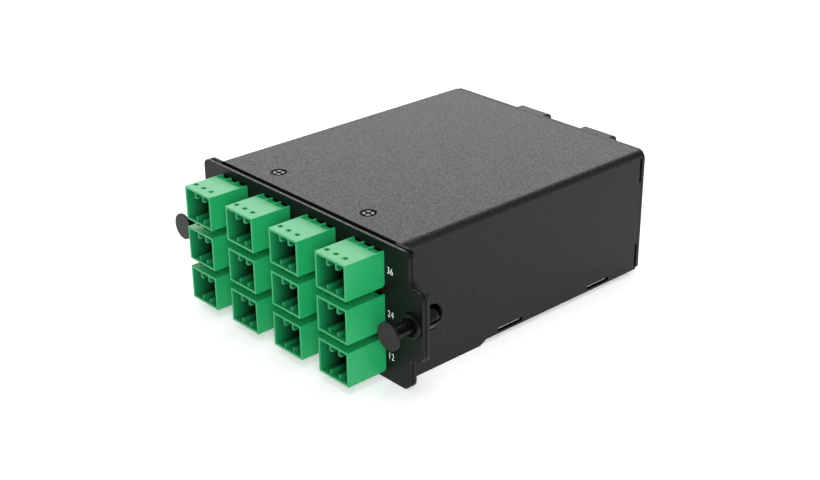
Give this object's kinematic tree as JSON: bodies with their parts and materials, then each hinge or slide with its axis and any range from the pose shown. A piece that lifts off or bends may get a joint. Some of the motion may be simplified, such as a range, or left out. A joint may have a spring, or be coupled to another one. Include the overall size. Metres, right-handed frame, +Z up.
{
  "type": "fibre cassette",
  "caption": "Slim dark metal fibre cassette with green front port adapters, ribbon adapters at the back and push latches in its ears.",
  "frame": {"origin": "centre of the overall box in X and Y, at the height of the front plate's lower edge", "axes": "+X to the right seen from the front, +Y from the ports to the back, +Z up"},
  "size_m": [0.1067, 0.1308, 0.0429],
  "materials": {
    "box_coat": "fine textured powder coat on folded sheet steel",
    "plate_coat": "satin black powder coat on a stamped plate",
    "green_moulding": "injection moulded green plastic",
    "plug_moulding": "injection moulded black plastic",
    "spring_steel": "bright rolled spring steel",
    "latch_moulding": "moulded black nylon",
    "screw_steel": "black oxide steel",
    "rear_moulding": "injection moulded black plastic",
    "ribbon_jacket": "smooth soft jacket on flat fibre ribbon"
  },
  "bodies": {
    "root": {"front_plate": "plate_coat", "base_tray": "box_coat", "cover": "box_coat", "adapter_row1_column1": "green_moulding", "port_plugs_row1_column1": "plug_moulding", "adapter_row1_column2": "green_moulding", "port_plugs_row1_column2": "plug_moulding", "adapter_row1_column3": "green_moulding", "port_plugs_row1_column3": "plug_moulding", "adapter_row1_column4": "green_moulding", "port_plugs_row1_column4": "plug_moulding", "adapter_row2_column1": "green_moulding", "port_plugs_row2_column1": "plug_moulding", "adapter_row2_column2": "green_moulding", "port_plugs_row2_column2": "plug_moulding", "adapter_row2_column3": "green_moulding", "port_plugs_row2_column3": "plug_moulding", "adapter_row2_column4": "green_moulding", "port_plugs_row2_column4": "plug_moulding", "adapter_row3_column1": "green_moulding", "port_plugs_row3_column1": "plug_moulding", "adapter_row3_column2": "green_moulding", "port_plugs_row3_column2": "plug_moulding", "adapter_row3_column3": "green_moulding", "port_plugs_row3_column3": "plug_moulding", "adapter_row3_column4": "green_moulding", "port_plugs_row3_column4": "plug_moulding", "adapter_clips": "spring_steel", "latch_grommet_left": "latch_moulding", "latch_grommet_right": "latch_moulding", "cover_screws": "screw_steel", "rear_adapter_clips": "spring_steel", "rear_adapter_row1_column1": "rear_moulding", "ribbon_plug_row1_column1": "plug_moulding", "ribbon_harness_row1_column1": "ribbon_jacket", "rear_adapter_row1_column2": "rear_moulding", "ribbon_plug_row1_column2": "plug_moulding", "ribbon_harness_row1_column2": "ribbon_jacket", "rear_adapter_row2_column1": "rear_moulding", "ribbon_plug_row2_column1": "plug_moulding", "ribbon_harness_row2_column1": "ribbon_jacket", "rear_adapter_row2_column2": "rear_moulding", "ribbon_plug_row2_column2": "plug_moulding", "ribbon_harness_row2_column2": "ribbon_jacket", "rear_adapter_row3_column1": "rear_moulding", "ribbon_plug_row3_column1": "plug_moulding", "ribbon_harness_row3_column1": "ribbon_jacket", "rear_adapter_row3_column2": "rear_moulding", "ribbon_plug_row3_column2": "plug_moulding", "ribbon_harness_row3_column2": "ribbon_jacket"},
    "plunger_left": {"latch_plunger_left": "latch_moulding"},
    "plunger_right": {"latch_plunger_right": "latch_moulding"}
  },
  "joints": [
    {"name": "left_latch_push", "type": "slide", "parent": "root", "child": "plunger_left", "axis": [0, 1, 0], "range_m": [0, 0.0063]},
    {"name": "right_latch_push", "type": "slide", "parent": "root", "child": "plunger_right", "axis": [0, 1, 0], "range_m": [0, 0.0063]}
  ]
}
